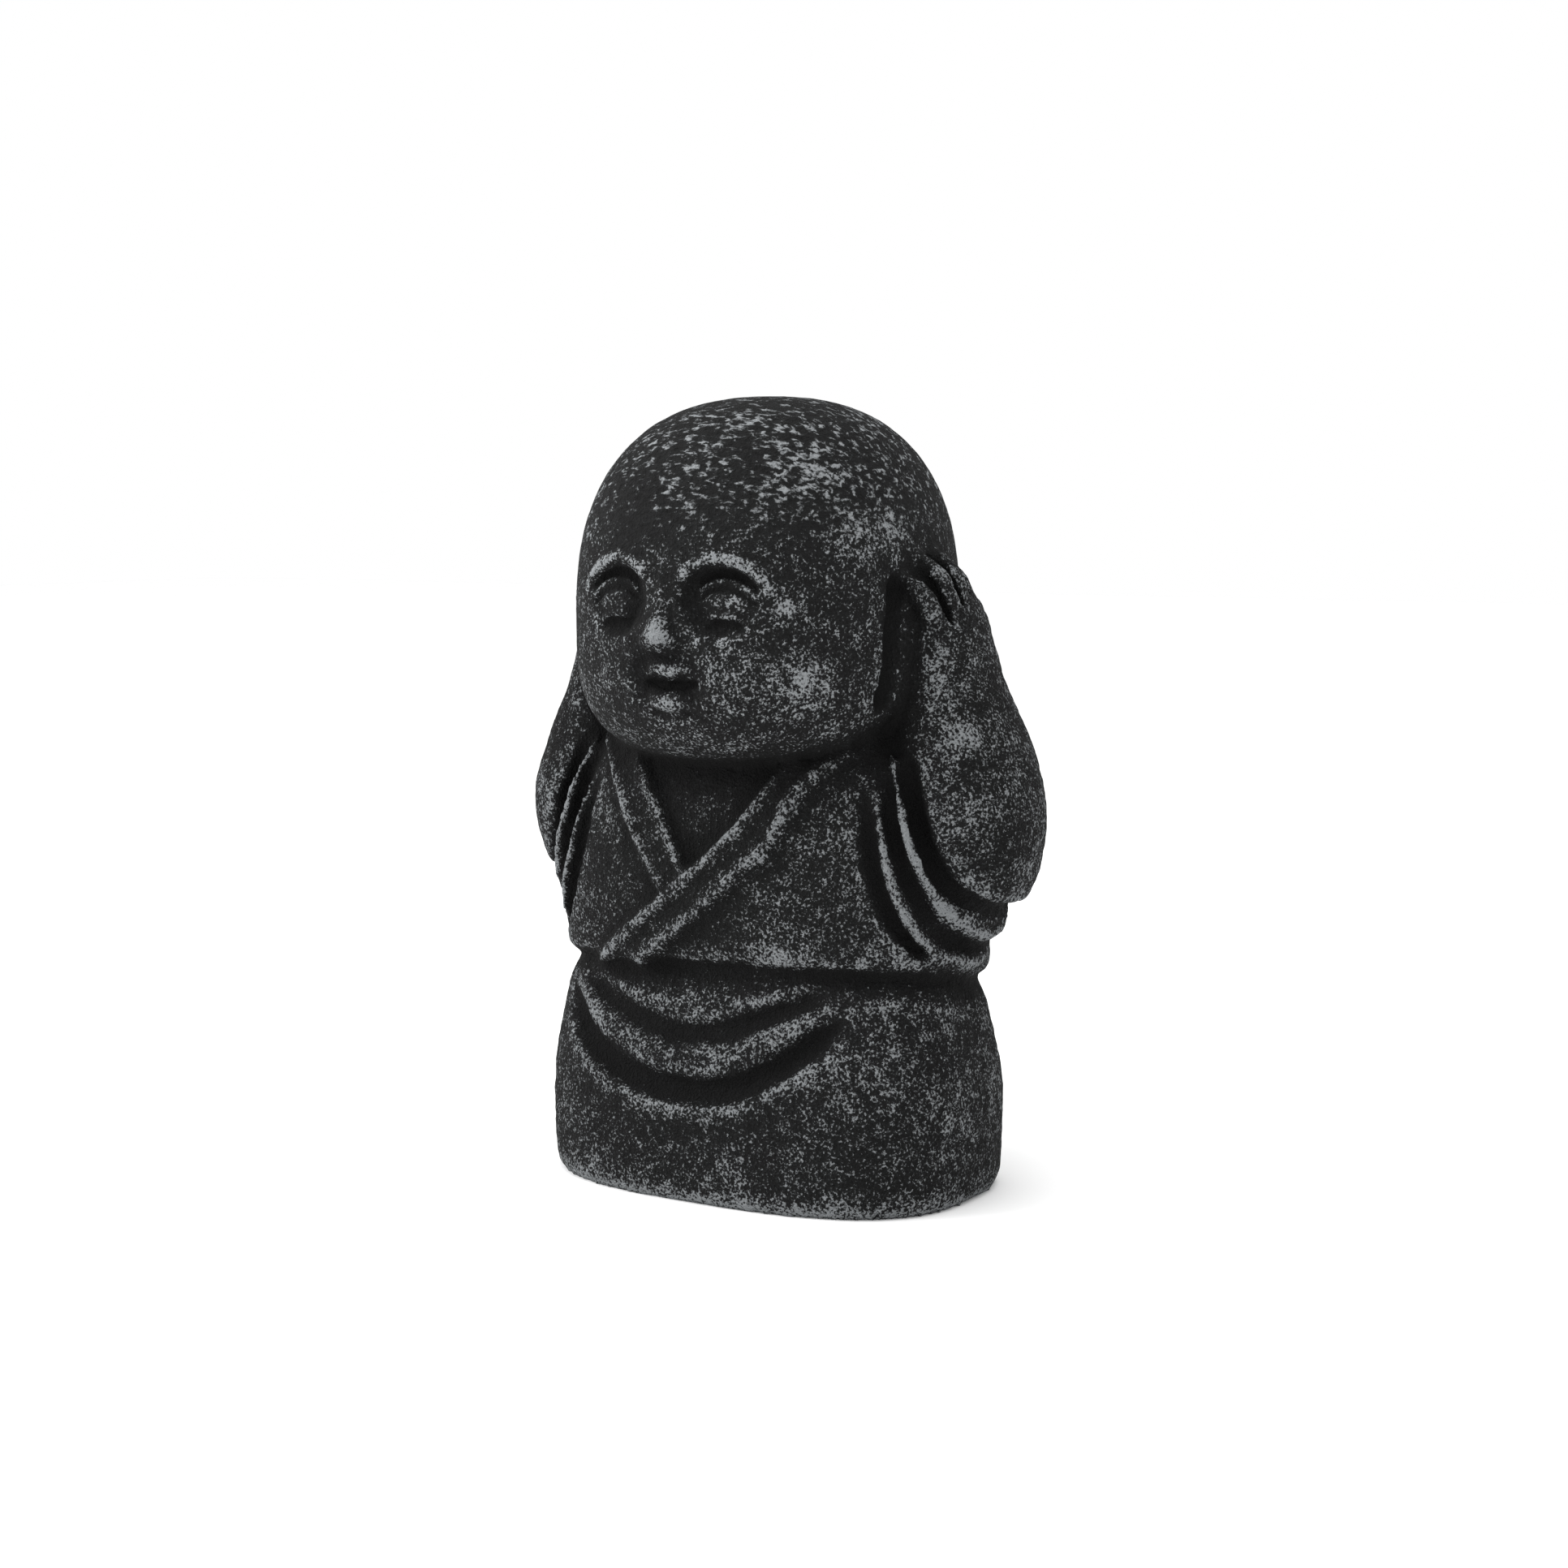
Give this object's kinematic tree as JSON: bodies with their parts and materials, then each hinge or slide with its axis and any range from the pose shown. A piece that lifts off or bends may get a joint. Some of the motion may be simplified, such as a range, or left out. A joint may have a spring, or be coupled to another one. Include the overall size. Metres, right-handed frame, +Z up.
{
  "type": "stone jizo statue",
  "caption": "Small cast-stone child monk standing in a crossed robe, hands held over the ears; it rests on its flat underside.",
  "frame": {"origin": "centre of the flat underside", "axes": "+Z up the figure; it faces -Y, and its left hand is on the +X side"},
  "size_m": [0.109, 0.075, 0.15],
  "materials": {
    "dry_brushed_stone": "sandy charcoal cast stone, matt, with pale blue-grey paint dry-brushed over its high places"
  },
  "bodies": {
    "root": {"jizo_statue": "dry_brushed_stone"}
  },
  "joints": []
}
